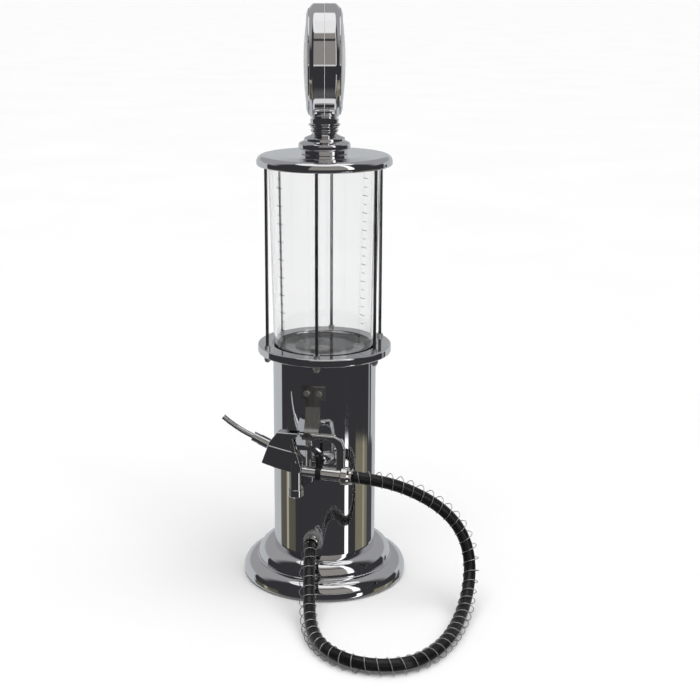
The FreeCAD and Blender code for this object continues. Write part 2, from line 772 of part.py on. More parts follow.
def on_handle(distance):
    start, direction = handle_line()
    return start + direction * distance


def make_nozzle_body():
    middle = -size("nozzle_forward")
    upper_half, lower_half = size("body_upper_half"), size("body_lower_half")
    upper = prism(
        [(-36.6, 130), (-32.8, 140.4), (-26.2, 149.2), (-7.5, 149.2), (-9.5, 145.6), (-13.2, 143.6),
         (-10.2, 133), (-8, 125)],
        middle - upper_half, middle + upper_half,
    )
    upper = upper.makeFillet(0.9, [edge for edge in upper.Edges])
    lower = prism(
        [(-39.8, 121.5), (-33.9, 137.6), (-17.0, 133.9), (-9.4, 132.8), (-5.6, 119.5), (-5.6, 114.6),
         (-16.5, 115.2), (-27.5, 117.8)],
        middle - lower_half, middle + lower_half,
    )
    lower = lower.makeFillet(0.7, [edge for edge in lower.Edges])
    housing_x = size("housing_x")
    housing_low, taper_start = size("housing_low"), size("housing_taper")
    taper_end = Vector(housing_x - 2.4, middle - 4.2, 144)
    housing = Part.makeCylinder(
        size("housing_radius"), taper_start - housing_low, Vector(housing_x, middle, housing_low)
    )
    taper_foot = Vector(housing_x, middle, taper_start - 1.4)
    taper_axis = taper_end - taper_foot
    fairing = Part.makeCone(size("housing_radius"), 1.1, taper_axis.Length, taper_foot, taper_axis)
    body = upper.fuse([lower, housing, fairing, ribbed_gusset(middle)]).removeSplitter()
    bore = Part.makeCylinder(4.2, 21.9, Vector(housing_x, middle, housing_low))
    stem_hole = Part.makeCylinder(size("stem_radius") + 0.1, 40, Vector(housing_x, middle, 110))
    slot = Part.makeBox(12.5, 5.2, 22, Vector(-16.8, middle - 2.6, 129.6))
    passage = Part.makeCylinder(2.0, 12, Vector(-12, middle, 115.2), handle_line()[1])
    for tool in (slot, stem_hole, bore, passage):
        body = body.cut(tool)
    keep("nozzle_body", shaped("nozzle_body", body.Solids[0]))


def ribbed_gusset(middle):
    """A thin web under the handle tube, with upright ribs across it."""
    web = prism([(-6, 111.5), (2.6, 110.4), (2.6, 107), (-6, 100.4)], middle - 0.9, middle + 0.9)
    pieces = [web]
    for x in (-3.6, -1.8, 0.0, 1.8):
        low = 101.9 + (x + 3.6) * 0.78
        pieces.append(Part.makeBox(0.7, 6.4, 110.6 - low, Vector(x - 0.35, middle - 3.2, low)))
    return pieces[0].fuse(pieces[1:])


def make_guard():
    """The loop over the trigger: a flat bar that turns down into a wider leg."""
    middle, half = -size("nozzle_forward"), size("guard_half")
    outer = prism(
        [(-7.4, 149.2), (22.5, 148.6), (29.2, 145.2), (31.4, 137.5), (31.2, 118.4), (24.0, 118.4),
         (24.0, 136.6), (21.6, 141.6), (16.4, 144.5), (-7.4, 145.5)],
        middle - half, middle + half,
    )
    corner_edges = [
        edge for edge in edges_along_y(outer)
        if edge.CenterOfMass.x > 15 and edge.CenterOfMass.z > 130
    ]
    guard = outer.makeFillet(4.5, corner_edges)
    rest = [edge for edge in guard.Edges if abs(edge.BoundBox.YLength) < 1e-3 and edge.CenterOfMass.z > 124]
    guard = guard.makeFillet(1.5, rest)
    body_gap = Part.makeBox(5, 20, 20, Vector(-12.4, middle - 10, 135))
    sleeve = Part.makeCylinder(size("sleeve_radius"), 30, on_handle(17), handle_line()[1])
    nut = Part.makeCylinder(8.1, 14, on_handle(33.7), handle_line()[1])
    keep("trigger_guard", shaped("trigger_guard", guard.cut([body_gap, sleeve, nut])))


def make_handle():
    start, direction = handle_line()
    bore = Part.makeCylinder(2.9, 60, start, direction)
    thin = Part.makeCylinder(size("handle_radius"), 16.95, on_handle(0.65), direction)
    housing_foot = Vector(size("housing_x"), start.y, size("housing_low"))
    thin = thin.cut(bore).cut(Part.makeCylinder(size("housing_radius"), 22, housing_foot))
    thin = thin.cut(ribbed_gusset(start.y))
    keep("handle_tube", shaped("handle_tube", max(thin.Solids, key=lambda solid: solid.Volume)))
    sleeve = Part.makeCylinder(size("sleeve_radius"), 16.2, on_handle(17.7), direction)
    keep("handle_sleeve", shaped("handle_sleeve", sleeve.cut(bore)))
    where = Placement(on_handle(33.9), Rotation(Vector(0, 0, 1), direction))
    nut = turned(
        "hose_nut",
        [("3.0", "0"), ("7.4", "0"), ("7.9", "0.8"), ("7.9", "5.4"), ("6.7", "7.2"), ("6.7", "9.6"),
         ("5.5", "9.6"), ("5.5", "7.6"), ("3.0", "7.6")],
        [(3, "0.8"), (5, "0.5")],
        where,
    )
    keep("hose_nut", nut)
    barb = Part.makeCylinder(2.85, 11.8, on_handle(29.5), direction)
    barb = barb.cut(Part.makeCylinder(1.8, 16, on_handle(28.5), direction))
    keep("hose_barb", shaped("hose_barb", barb))


def make_bracket():
    """The black saddle on the handle tube that carries the trigger's pin."""
    middle = -size("nozzle_forward")
    direction = handle_line()[1]
    band = Part.makeCylinder(6.6, 4.2, on_handle(12.5), direction)
    tunnel = Part.makeCylinder(size("handle_radius"), 12, on_handle(9), direction)
    pivot_x, pivot_z = size("pivot_x"), size("pivot_z")
    cheeks = []
    for side in (-1, 1):
        near = middle + side * (size("trigger_half") + 0.4)
        far = near + side * 1.5
        outline = [
            (6.8, 117), (10.4, 117), (10.6, pivot_z + 1.2), (pivot_x, pivot_z + 2.8), (6.6, pivot_z + 1.2),
        ]
        cheeks.append(prism(outline, min(near, far), max(near, far)))
    pin_hole = Part.makeCylinder(1.05, 20, Vector(pivot_x, middle - 10, pivot_z), Vector(0, 1, 0))
    keep("trigger_bracket", shaped("trigger_bracket", band.fuse(cheeks).cut([tunnel, pin_hole])))
    half = size("trigger_half") + 2.5
    pin = Part.makeCylinder(1.0, 2 * half, Vector(pivot_x, middle - half, pivot_z), Vector(0, 1, 0))
    keep("trigger_pin", shaped("trigger_pin", pin))


def make_trigger():
    """A lever from the pin up under the guard, then down to a nose over the valve stem."""
    middle, half = -size("nozzle_forward"), size("trigger_half")
    pivot_x, pivot_z = size("pivot_x"), size("pivot_z")
    outline = [
        (pivot_x + 2.2, pivot_z + 1.6), (6.2, 136.5), (2.4, 137.1), (-9.6, 137.1), (-13.4, 136.4),
        (-13.4, 134.0), (-9.2, 134.0), (-1.8, 134.2), (2.0, 134.1), (4.4, 132.4),
        (pivot_x - 2.4, pivot_z - 1.6),
    ]
    lever = prism(outline, middle - half, middle + half)
    lever = lever.makeFillet(0.6, edges_along_y(lever))
    boss = Part.makeCylinder(2.8, 2 * half, Vector(pivot_x, middle - half, pivot_z), Vector(0, 1, 0))
    hole = Part.makeCylinder(1.05, 2 * half, Vector(pivot_x, middle - half, pivot_z), Vector(0, 1, 0))
    keep("trigger", shaped("trigger", lever.fuse(boss).removeSplitter().cut(hole)))


def spring_profile():
    """A thin wavy sleeve, as tall as the spring, with a crest for each turn."""
    turns, pitch, wall = 4, 1.8, 0.7
    waves = []
    for number in range(2 * turns + 1):
        crest = 0.6 if number % 2 else 0.0
        waves.append((2.5 + crest, 0.4 + number * pitch / 2))
    outside = [(str(radius + wall), str(height)) for radius, height in waves]
    inside = [(str(radius), str(height)) for radius, height in reversed(waves)]
    return outside + inside


def make_valve():
    middle, x = -size("nozzle_forward"), size("housing_x")
    stem = Part.makeCylinder(size("stem_radius"), 23.5, Vector(x, middle, 110.2))
    poppet = Part.makeCone(2.6, 3.9, 2.0, Vector(x, middle, 109.2))
    poppet = poppet.fuse(Part.makeCylinder(3.9, 1.6, Vector(x, middle, 111.2)))
    keep("valve_stem", shaped("valve_stem", stem.fuse(poppet)))
    keep("valve_spring", turned("valve_spring", spring_profile(), (), upright(x, middle, 101.2)))
    cap = turned(
        "valve_cap",
        [("0", "0"), ("6", "0"), ("6.8", "1"), ("6.8", "7.2"), ("4.1", "7.2"), ("4.1", "8.6"), ("0", "8.6")],
        [(2, "0.4"), (3, "0.5")],
        upright(x, middle, 92.2),
    )
    keep("valve_cap", cap)


def make_spout():
    middle = -size("nozzle_forward")
    root, shoulder = Vector(-34.6, middle, 137.0), Vector(-48.4, middle, 143.2)
    axis = (shoulder - root).normalize()
    fat = Part.makeCylinder(size("collar_fat_radius"), 14.6, root, axis)
    groove_at = root + axis * 8.6
    groove = Part.makeCylinder(8, 0.9, groove_at, axis)
    groove = groove.cut(Part.makeCylinder(size("collar_fat_radius") - 0.5, 0.9, groove_at, axis))
    step = Part.makeCylinder(8, 5.4, root + axis * 9.5, axis)
    step = step.cut(Part.makeCylinder(size("collar_fat_radius") - 0.35, 5.4, root + axis * 9.5, axis))
    collar = fat.cut([groove, step, nodes["nozzle_body"].Shape])
    bore = Part.makeCylinder(size("spout_radius") + 0.45, 4.6, root + axis * 10.5, axis)
    collar = collar.cut(bore)
    keep("spout_collar", shaped("spout_collar", max(collar.Solids, key=lambda solid: solid.Volume)))
    start = root + axis * 11
    tip = Vector(-74.0, middle, 158.4)
    bend = Vector(-61.2, middle, 149.4)
    arc = Part.Arc(start, bend, tip).toShape()
    outer = swept(Part.Wire([arc]), size("spout_radius"))
    inner = swept(Part.Wire([arc]), size("spout_radius") - 0.5)
    keep("spout", shaped("spout", outer.cut(inner)))


def build():
    make_base()
    make_column()
    make_deck()
    make_rods()
    make_lid()
    make_reservoir()
    make_cap()
    make_neck()
    make_globe()
    make_hanger()
    make_gland()
    make_hose()
    make_nozzle_body()
    make_guard()
    make_handle()
    make_bracket()
    make_trigger()
    make_valve()
    make_spout()
    doc.recompute()


def check_all():
    """Stop if any object failed or any piece is not a sound solid."""
    failed = [item.Label for item in doc.Objects if "Invalid" in item.State or "Error" in item.State]
    unsound = [
        name for name, item in nodes.items()
        if item.Shape.isNull() or not item.Shape.isValid() or not item.Shape.Solids
    ]
    if failed or unsound:
        raise RuntimeError(f"failed: {failed}; no sound solid: {unsound}")


def write_all():
    os.makedirs("parts", exist_ok=True)
    for name, item in nodes.items():
        item.Shape.exportStep(f"parts/{name}.step")
    print(len(nodes), "nodes written")


build()
check_all()
write_all()
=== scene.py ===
import json
import math

import bpy
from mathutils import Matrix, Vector


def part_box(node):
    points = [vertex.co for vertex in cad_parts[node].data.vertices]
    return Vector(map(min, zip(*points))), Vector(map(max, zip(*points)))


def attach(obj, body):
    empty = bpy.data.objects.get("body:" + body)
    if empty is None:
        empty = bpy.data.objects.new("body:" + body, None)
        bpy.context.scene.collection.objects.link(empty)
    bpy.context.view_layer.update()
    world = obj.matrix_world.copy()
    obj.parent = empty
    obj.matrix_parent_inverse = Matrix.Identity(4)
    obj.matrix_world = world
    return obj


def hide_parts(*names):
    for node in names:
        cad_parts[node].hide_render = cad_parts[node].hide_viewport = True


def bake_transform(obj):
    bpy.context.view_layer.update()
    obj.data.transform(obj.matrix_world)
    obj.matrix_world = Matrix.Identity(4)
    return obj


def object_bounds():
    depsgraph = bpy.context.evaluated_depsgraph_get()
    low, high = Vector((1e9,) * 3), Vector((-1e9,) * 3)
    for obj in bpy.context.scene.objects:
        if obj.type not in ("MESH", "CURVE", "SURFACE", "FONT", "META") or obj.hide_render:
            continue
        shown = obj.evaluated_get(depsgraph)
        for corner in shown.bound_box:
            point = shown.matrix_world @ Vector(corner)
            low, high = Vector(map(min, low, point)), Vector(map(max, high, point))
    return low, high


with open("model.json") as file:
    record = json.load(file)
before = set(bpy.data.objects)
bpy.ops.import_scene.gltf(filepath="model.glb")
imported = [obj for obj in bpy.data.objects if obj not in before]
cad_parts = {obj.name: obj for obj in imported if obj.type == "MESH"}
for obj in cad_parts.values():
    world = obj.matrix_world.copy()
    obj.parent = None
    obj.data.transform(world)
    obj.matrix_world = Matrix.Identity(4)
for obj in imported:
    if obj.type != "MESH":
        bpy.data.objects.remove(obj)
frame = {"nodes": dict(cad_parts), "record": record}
cad_box = [list(corner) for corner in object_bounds()]

# A pump-style drinks dispenser, in metres. The camera looks at its nozzle side, which is -Y.
MM = 0.001
LOOK_FROM_DEGREES = 12.4
CAMERA_AWAY = 1.16
CAMERA_HIGH = 0.525
CAMERA_DOWN_DEGREES = 13.13
CAMERA_LENS = 71.02
CAMERA_SHIFT = (0.0364, -0.08)
CAMERA_SEES_TO = 400

HOSE_DIAMETER = 10.0 * MM
HOSE_STEP = 2.4 * MM
COIL_TIGHT_RADIUS = 5.4 * MM
COIL_WIRE_RADIUS = 0.34 * MM
COIL_SLACK = 1.5 * MM
COIL_PITCH = 9.4 * MM
COIL_SIDES = 7
COIL_STEP = 0.45 * MM
COIL_END_GAP = 2.2 * MM
COIL_SETTLE_STEPS = 64
COIL_MARGIN = 0.1 * MM
COIL_OFF_FLOOR = 0.2 * MM
LOOP_MIDDLE = Vector((0.045, -0.105, 0.045))

TICK_FIRST_UP = 14 * MM
TICK_LAST_DOWN = 8 * MM
TICK_STEP = 7.6 * MM
TICK_SIDES_DEGREES = (-130.6, 49.4)
TICK_LONG = 7.5 * MM
TICK_SHORT = 4.2 * MM
WALL_FOOT_RADIUS = 43.7 * MM
WALL_TOP_RADIUS = 47.5 * MM
WALL_MEAN_RADIUS = 45 * MM
TICK_PROUD = 0.05 * MM

FLOOR_HALF = 120

SUN_POWER = 2.15
SUN_WIDE_DEGREES = 70
SUN_TILT_DEGREES = (12, 14)
FILL_PLACE = (-1.2, -2.4, 1.8)
FILL_AIM = (0, 0, 0.2)
FILL_WIDE = 2.0
FILL_POWER = 8

# The hose's route, the same points as in part.py, in millimetres.
HOSE_ROUTE_MM = [
    (0, -56, 46), (2, -69, 43.5), (5, -83, 36), (8.5, -99, 25), (13, -117, 14), (19, -136, 8.5),
    (28.5, -154, 7.6), (43, -170, 7.6), (63, -180.5, 7.6), (86, -181, 7.6), (105.5, -172, 7.6),
    (119, -155, 7.8), (128, -132, 8.4), (133, -107, 10), (135.5, -83, 13.5), (137, -63, 21),
    (136.5, -46, 35), (132, -38.5, 53), (122, -38, 71), (106.5, -42, 86.5), (88, -48, 98.5),
    (70, -54, 106.5), (53, -60, 111.3), (37.5, -62, 113.2),
]


# ---- camera ----


def make_camera():
    turn = math.radians(LOOK_FROM_DEGREES)
    camera = bpy.data.objects.new("camera", bpy.data.cameras.new("camera"))
    camera.location = (CAMERA_AWAY * math.sin(turn), -CAMERA_AWAY * math.cos(turn), CAMERA_HIGH)
    camera.rotation_euler = (math.radians(90 - CAMERA_DOWN_DEGREES), 0, turn)
    camera.data.lens = CAMERA_LENS
    camera.data.shift_x, camera.data.shift_y = CAMERA_SHIFT
    camera.data.clip_end = CAMERA_SEES_TO
    bpy.context.scene.collection.objects.link(camera)
    bpy.context.scene.camera = camera


# ---- mesh helpers ----


def add_mesh(name, verts, faces, smooth=True):
    mesh = bpy.data.meshes.new(name)
    mesh.from_pydata([tuple(v) for v in verts], [], faces)
    mesh.validate()
    for polygon in mesh.polygons:
        polygon.use_smooth = smooth
    piece = bpy.data.objects.new(name, mesh)
    bpy.context.scene.collection.objects.link(piece)
    return piece


def spline_line(points, name):
    """Points along the smooth NURBS line that the route's points control."""
    curve = bpy.data.curves.new(name, "CURVE")
    curve.dimensions = "3D"
    curve.resolution_u = 16
    spline = curve.splines.new("NURBS")
    spline.points.add(len(points) - 1)
    for point, place in zip(spline.points, points):
        point.co = (*place, 1)
    spline.order_u = 3
    spline.use_endpoint_u = True
    carrier = bpy.data.objects.new(name, curve)
    mesh = bpy.data.meshes.new_from_object(carrier)
    line = [v.co.copy() for v in mesh.vertices]
    bpy.data.meshes.remove(mesh)
    bpy.data.objects.remove(carrier)
    return line


def even_line(line, step):
    """The same line with its points an even step apart."""
    lengths = [0.0]
    for first, second in zip(line, line[1:]):
        lengths.append(lengths[-1] + (second - first).length)
    count = max(2, round(lengths[-1] / step))
    out, at = [], 0
    for number in range(count + 1):
        want = lengths[-1] * number / count
        while at < len(line) - 2 and lengths[at + 1] < want:
            at += 1
        share = (want - lengths[at]) / max(lengths[at + 1] - lengths[at], 1e-12)
        out.append(line[at].lerp(line[at + 1], min(share, 1)))
    return out


def frames_along(line):
    """Tangent, side and up at each point, carried along without twisting."""
    side = Vector((1, 0, 0))
    frames = []
    for number in range(len(line)):
        before, after = line[max(number - 1, 0)], line[min(number + 1, len(line) - 1)]
        tangent = (after - before).normalized()
        side = (side - tangent * side.dot(tangent)).normalized()
        frames.append((tangent, side, tangent.cross(side)))
    return frames


def bar_along(name, line, radius, around):
    """A round bar that follows a line, closed at both ends."""
    verts, faces = [], []
    for place, (_, side, up) in zip(line, frames_along(line)):
        for number in range(around):
            angle = 2 * math.pi * number / around
            verts.append(place + (side * math.cos(angle) + up * math.sin(angle)) * radius)
    for ring in range(len(line) - 1):
        for number in range(around):
            here, there = ring * around, (ring + 1) * around
            following = (number + 1) % around
            faces.append((here + number, here + following, there + following, there + number))
    faces.append(tuple(reversed(range(around))))
    last = (len(line) - 1) * around
    faces.append(tuple(range(last, last + around)))
    return add_mesh(name, verts, faces)


# ---- hose and its wire guard ----


def make_hose():
    route = [Vector(place) * MM for place in HOSE_ROUTE_MM]
    line = even_line(spline_line(route, "hose_line"), HOSE_STEP)
    hose = bar_along("supply_hose_skin", line, HOSE_DIAMETER / 2, 28)
    coil = make_coil(line)
    return hose, coil, line


def coil_room(place, away):
    """How far a turn may stand off at a place before it would leave the object's box."""
    low, high = cad_box
    slack = COIL_SLACK
    tight = COIL_TIGHT_RADIUS + COIL_WIRE_RADIUS + COIL_MARGIN
    for axis in (0, 1):
        slack = min(slack, (high[axis] - place[axis] - tight) / (1 + max(away[axis], -0.5)))
        slack = min(slack, (place[axis] - low[axis] - tight) / (1 + max(-away[axis], -0.5)))
    return max(slack, 0)


def hand_wound(along):
    """How far the wire's turning runs ahead or behind, in radians, at a length along the hose."""
    slow = 0.5 * math.sin(along * 31)
    quick = 0.2 * math.sin(along * 97 + 1)
    return slow + quick


def make_coil(line):
    """A loose wire helix round the hose, standing off on the outer side of each bend."""
    fine = even_line(line, COIL_STEP)
    skip = round(COIL_END_GAP / COIL_STEP)
    frames = frames_along(fine)
    points = []
    for number in range(skip, len(fine) - skip):
        tangent, side, up = frames[number]
        along = number * COIL_STEP
        angle = 2 * math.pi * along / COIL_PITCH + hand_wound(along)
        away = fine[number] - LOOP_MIDDLE
        away = (away - tangent * away.dot(tangent)).normalized()
        from_end = min(number - skip, len(fine) - skip - number)
        ramp = min(1, from_end / COIL_SETTLE_STEPS)
        slack = coil_room(fine[number], away) * ramp
        ring = (side * math.cos(angle) + up * math.sin(angle)) * (COIL_TIGHT_RADIUS + slack)
        place = fine[number] + away * slack + ring
        place.z = max(place.z, COIL_WIRE_RADIUS + COIL_OFF_FLOOR)
        points.append(place)
    return bar_along("hose_guard_wire", points, COIL_WIRE_RADIUS, COIL_SIDES)


# ---- graduations printed on the reservoir ----


def make_graduations():
    """Fine raised ticks down two opposite sides of the reservoir, every second one longer."""
    low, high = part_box("reservoir")
    verts, faces = [], []
    first, last = low[2] + TICK_FIRST_UP, high[2] - TICK_LAST_DOWN
    count = int((last - first) / TICK_STEP) + 1
    for side_degrees in TICK_SIDES_DEGREES:
        for number in range(count):
            height = first + number * TICK_STEP
            share = (height - low[2]) / (high[2] - low[2])
            radius = WALL_FOOT_RADIUS + (WALL_TOP_RADIUS - WALL_FOOT_RADIUS) * share + TICK_PROUD
            long = TICK_LONG if number % 2 else TICK_SHORT
            half_angle = long / WALL_MEAN_RADIUS / 2
            add_tick(verts, faces, math.radians(side_degrees), half_angle, radius, height)
    return add_mesh("reservoir_graduations", verts, faces, False)


def add_tick(verts, faces, middle, half_angle, radius, height):
    """One thin curved bar lying on the wall."""
    parts, thick, tall = 6, 0.12 * MM, 0.24 * MM
    base = len(verts)
    for number in range(parts + 1):
        angle = middle + half_angle * (2 * number / parts - 1)
        for out, up in ((0, -tall), (thick, -tall), (thick, tall), (0, tall)):
            reach = radius + out
            verts.append((reach * math.cos(angle), reach * math.sin(angle), height + up))
    for number in range(parts):
        for corner in range(4):
            following = (corner + 1) % 4
            here, there = base + number * 4, base + (number + 1) * 4
            faces.append((here + corner, here + following, there + following, there + corner))
    faces.append((base + 3, base + 2, base + 1, base))
    end = base + parts * 4
    faces.append((end, end + 1, end + 2, end + 3))


# ---- materials ----


class Look:
    """A node material around one Principled shader."""

    def __init__(self, name, **sockets):
        self.material = bpy.data.materials.new(name)
        self.material.use_nodes = True
        self.tree = self.material.node_tree
        self.shader = self.tree.nodes["Principled BSDF"]
        for socket, value in sockets.items():
            self.shader.inputs[socket.replace("_", " ")].default_value = value

    def node(self, kind, **settings):
        made = self.tree.nodes.new(kind)
        for name, value in settings.items():
            if name in made.inputs:
                made.inputs[name].default_value = value
            else:
                setattr(made, name, value)
        return made

    def link(self, source, target):
        self.tree.links.new(source, target)

    def place(self, stretch=(1, 1, 1)):
        """Object coordinates, stretched."""
        where = self.node("ShaderNodeTexCoord")
        mapping = self.node("ShaderNodeMapping")
        mapping.inputs["Scale"].default_value = stretch
        self.link(where.outputs["Object"], mapping.inputs["Vector"])
        return mapping.outputs["Vector"]

    def noise(self, scale, detail=4, stretch=(1, 1, 1)):
        made = self.node("ShaderNodeTexNoise", Scale=scale, Detail=detail)
        self.link(self.place(stretch), made.inputs["Vector"])
        return made.outputs["Fac"]

    def spread(self, value, low, high):
        """Map 0.3..0.7 of a noise onto low..high."""
        made = self.node("ShaderNodeMapRange")
        made.inputs["From Min"].default_value = 0.3
        made.inputs["From Max"].default_value = 0.7
        made.inputs["To Min"].default_value = low
        made.inputs["To Max"].default_value = high
        self.link(value, made.inputs["Value"])
        return made.outputs["Result"]

    def rough(self, value, low, high):
        self.link(self.spread(value, low, high), self.shader.inputs["Roughness"])

    def two_colours(self, value, first, second):
        ramp = self.node("ShaderNodeValToRGB")
        ramp.color_ramp.elements[0].position = 0.35
        ramp.color_ramp.elements[1].position = 0.65
        ramp.color_ramp.elements[0].color = (*first, 1)
        ramp.color_ramp.elements[1].color = (*second, 1)
        self.link(value, ramp.inputs["Fac"])
        self.link(ramp.outputs["Color"], self.shader.inputs["Base Color"])

    def bump(self, value, strength, distance):
        made = self.node("ShaderNodeBump", Strength=strength, Distance=distance)
        self.link(value, made.inputs["Height"])
        self.link(made.outputs["Normal"], self.shader.inputs["Normal"])


def chrome(name, tint, low=0.015, high=0.06, ripple=0.0):
    look = Look(name, Metallic=1.0)
    smears = look.noise(38, 6, (1, 1, 0.35))
    look.two_colours(smears, [c * 0.96 for c in tint], tint)
    look.rough(look.noise(140, 5), low, high)
    if ripple:
        look.bump(look.noise(22, 2), ripple, 0.0006)
    return look.material


def brushed(name, tint, stretch, low=0.18, high=0.32):
    look = Look(name, Metallic=1.0)
    grain = look.noise(420, 4, stretch)
    look.two_colours(grain, [c * 0.82 for c in tint], tint)
    look.rough(grain, low, high)
    look.bump(grain, 0.08, 0.0002)
    return look.material


def moulded(name, tint, low=0.38, high=0.55, grain=900):
    look = Look(name, Specular_IOR_Level=0.45)
    cloud = look.noise(60, 4)
    look.two_colours(cloud, [c * 0.85 for c in tint], tint)
    look.rough(cloud, low, high)
    look.bump(look.noise(grain, 3), 0.12, 0.0002)
    return look.material


def clear(name, tint, roughness=0.01, ior=1.49):
    look = Look(name, Transmission_Weight=1.0, IOR=ior)
    haze = look.noise(30, 4, (1, 1, 0.4))
    look.two_colours(haze, [c * 0.985 for c in tint], tint)
    look.rough(haze, roughness, roughness + 0.02)
    return look.material


def enamel(name, tint):
    look = Look(name, Specular_IOR_Level=0.5, Coat_Weight=0.6, Coat_Roughness=0.05)
    look.two_colours(look.noise(24, 3), [c * 0.94 for c in tint], tint)
    look.rough(look.noise(90, 3), 0.18, 0.3)
    look.bump(look.noise(300, 2), 0.04, 0.0002)
    return look.material


def make_materials():
    return {
        "mirror_chrome": chrome("mirror_chrome_look", (0.86, 0.86, 0.88)),
        "globe_chrome": chrome("globe_chrome_look", (0.84, 0.84, 0.86)),
        "sign_enamel": enamel("sign_enamel_look", (0.80, 0.78, 0.71)),
        "black_rubber": moulded("black_rubber_look", (0.03, 0.03, 0.032), 0.5, 0.7),
        "ballast_iron": moulded("ballast_iron_look", (0.10, 0.10, 0.11), 0.6, 0.8, 500),
        "black_plastic": moulded("black_plastic_look", (0.010, 0.010, 0.011), 0.28, 0.45),
        "screw_steel": chrome("screw_steel_look", (0.86, 0.86, 0.86), 0.3, 0.42),
        "rod_steel": brushed("rod_steel_look", (0.20, 0.20, 0.205), (1, 1, 0.05), 0.22, 0.38),
        "clear_acrylic": clear("clear_acrylic_look", (0.955, 0.957, 0.96)),
        "hanger_steel": brushed("hanger_steel_look", (0.50, 0.49, 0.46), (1, 1, 0.08), 0.3, 0.42),
        "gland_grey": moulded("gland_grey_look", (0.24, 0.245, 0.25)),
        "ferrule_chrome": chrome("ferrule_chrome_look", (0.86, 0.84, 0.81), 0.03, 0.1),
        "hose_rubber": moulded("hose_rubber_look", (0.008, 0.008, 0.009), 0.16, 0.3, 700),
        "spring_wire": chrome("spring_wire_look", (0.90, 0.90, 0.91), 0.3, 0.45),
        "nozzle_chrome": chrome("nozzle_chrome_look", (0.80, 0.80, 0.81), 0.04, 0.1, 0.03),
        "fitting_brass": chrome("fitting_brass_look", (0.78, 0.60, 0.30), 0.1, 0.2),
        "white_plastic": moulded("white_plastic_look", (0.72, 0.72, 0.71)),
        "clear_tube": clear("clear_tube_look", (0.9, 0.91, 0.92), 0.12, 1.41),
    }


def paint(piece, material):
    piece.data.materials.clear()
    piece.data.materials.append(material)


def paint_nodes(materials):
    slots = {part["node"]: part["material_slot"] for part in frame["record"]["subparts"]}
    for name, piece in frame["nodes"].items():
        if not piece.material_slots:
            piece.data.materials.append(None)
        for place in piece.material_slots:
            place.material = materials[slots[name]]


# ---- surroundings ----


def make_floor():
    half = FLOOR_HALF
    corners = [(-half, -half, 0), (half, -half, 0), (half, half, 0), (-half, half, 0)]
    floor = add_mesh("floor", corners, [(0, 1, 2, 3)])
    look = Look("floor_look", Roughness=0.9, Specular_IOR_Level=0.1)
    look.two_colours(look.noise(3, 3), (0.93, 0.93, 0.93), (0.95, 0.95, 0.95))
    paint(floor, look.material)
    floor.visible_glossy = False


class Sky:
    """The studio's surroundings, by direction: what the polished surfaces reflect."""

    def __init__(self):
        world = bpy.data.worlds.new("studio")
        world.use_nodes = True
        bpy.context.scene.world = world
        self.tree = world.node_tree
        self.background = self.tree.nodes["Background"]
        self.direction = self.tree.nodes.new("ShaderNodeTexCoord").outputs["Generated"]

    def link(self, source, target):
        self.tree.links.new(source, target)

    def dot(self, vector):
        made = self.tree.nodes.new("ShaderNodeVectorMath")
        made.operation = "DOT_PRODUCT"
        made.inputs[1].default_value = vector
        self.link(self.direction, made.inputs[0])
        return made.outputs["Value"]

    def maths(self, operation, first, second=None, third=None):
        made = self.tree.nodes.new("ShaderNodeMath")
        made.operation = operation
        for socket, value in zip(made.inputs, (first, second, third)):
            if value is None:
                continue
            if isinstance(value, (int, float)):
                socket.default_value = value
            else:
                self.link(value, socket)
        return made.outputs["Value"]

    def smooth(self, value, low, high):
        made = self.tree.nodes.new("ShaderNodeMapRange")
        made.interpolation_type = "SMOOTHSTEP"
        made.inputs["From Min"].default_value = low
        made.inputs["From Max"].default_value = high
        self.link(value, made.inputs["Value"])
        return made.outputs["Result"]

    def ramp(self, value, stops):
        made = self.tree.nodes.new("ShaderNodeValToRGB")
        elements = made.color_ramp.elements
        while len(elements) < len(stops):
            elements.new(0.5)
        for element, (position, colour) in zip(elements, stops):
            element.position = position
            element.color = (*colour, 1)
        self.link(value, made.inputs["Fac"])
        return made.outputs["Color"]

    def mix(self, share, first, second):
        made = self.tree.nodes.new("ShaderNodeMix")
        made.data_type = "RGBA"
        self.link(share, made.inputs[0])
        for socket, value in ((made.inputs[6], first), (made.inputs[7], second)):
            if isinstance(value, tuple):
                socket.default_value = (*value, 1)
            else:
                self.link(value, socket)
        return made.outputs[2]


def bands(steps, soften):
    """Ramp stops for (start in degrees round from the camera, colour) steps, -180 to 180."""
    stops = []
    for number, (start, colour) in enumerate(steps):
        end = steps[number + 1][0] if number + 1 < len(steps) else 180
        stops.append(((start + soften + 180) / 360, colour))
        stops.append(((end - soften + 180) / 360, colour))
    return stops


# Colours of the room that the chrome reflects. Heights below are sines of the angle above level.
BLACK, WHITE = (0, 0, 0), (1, 1, 1)
PALE, DARK = (0.50, 0.52, 0.53), (0.038, 0.038, 0.042)
KHAKI, LEFT_KHAKI = (0.20, 0.185, 0.13), (0.105, 0.098, 0.074)
LEFT_STRIP, RIGHT_STRIP = (0.42, 0.40, 0.32), (0.34, 0.33, 0.26)
LEFT_SHADE, RIGHT_SHADE = (0.12, 0.115, 0.10), (0.06, 0.06, 0.065)
STRIPE, WINDOW = (1.9, 1.9, 1.9), (1.6, 1.6, 1.6)
BROWN, WALL_GREY = (0.29, 0.275, 0.255), (0.3, 0.3, 0.31)
SILL, LINTEL = (0.72, 0.72, 0.70), (0.05, 0.05, 0.05)
BACK_GREY, UNDER_GREY = (0.34, 0.34, 0.345), (0.10, 0.10, 0.105)
CEILING_WHITE, CEILING_FRONT = (0.98, 0.98, 0.98), (0.93, 0.93, 0.92)

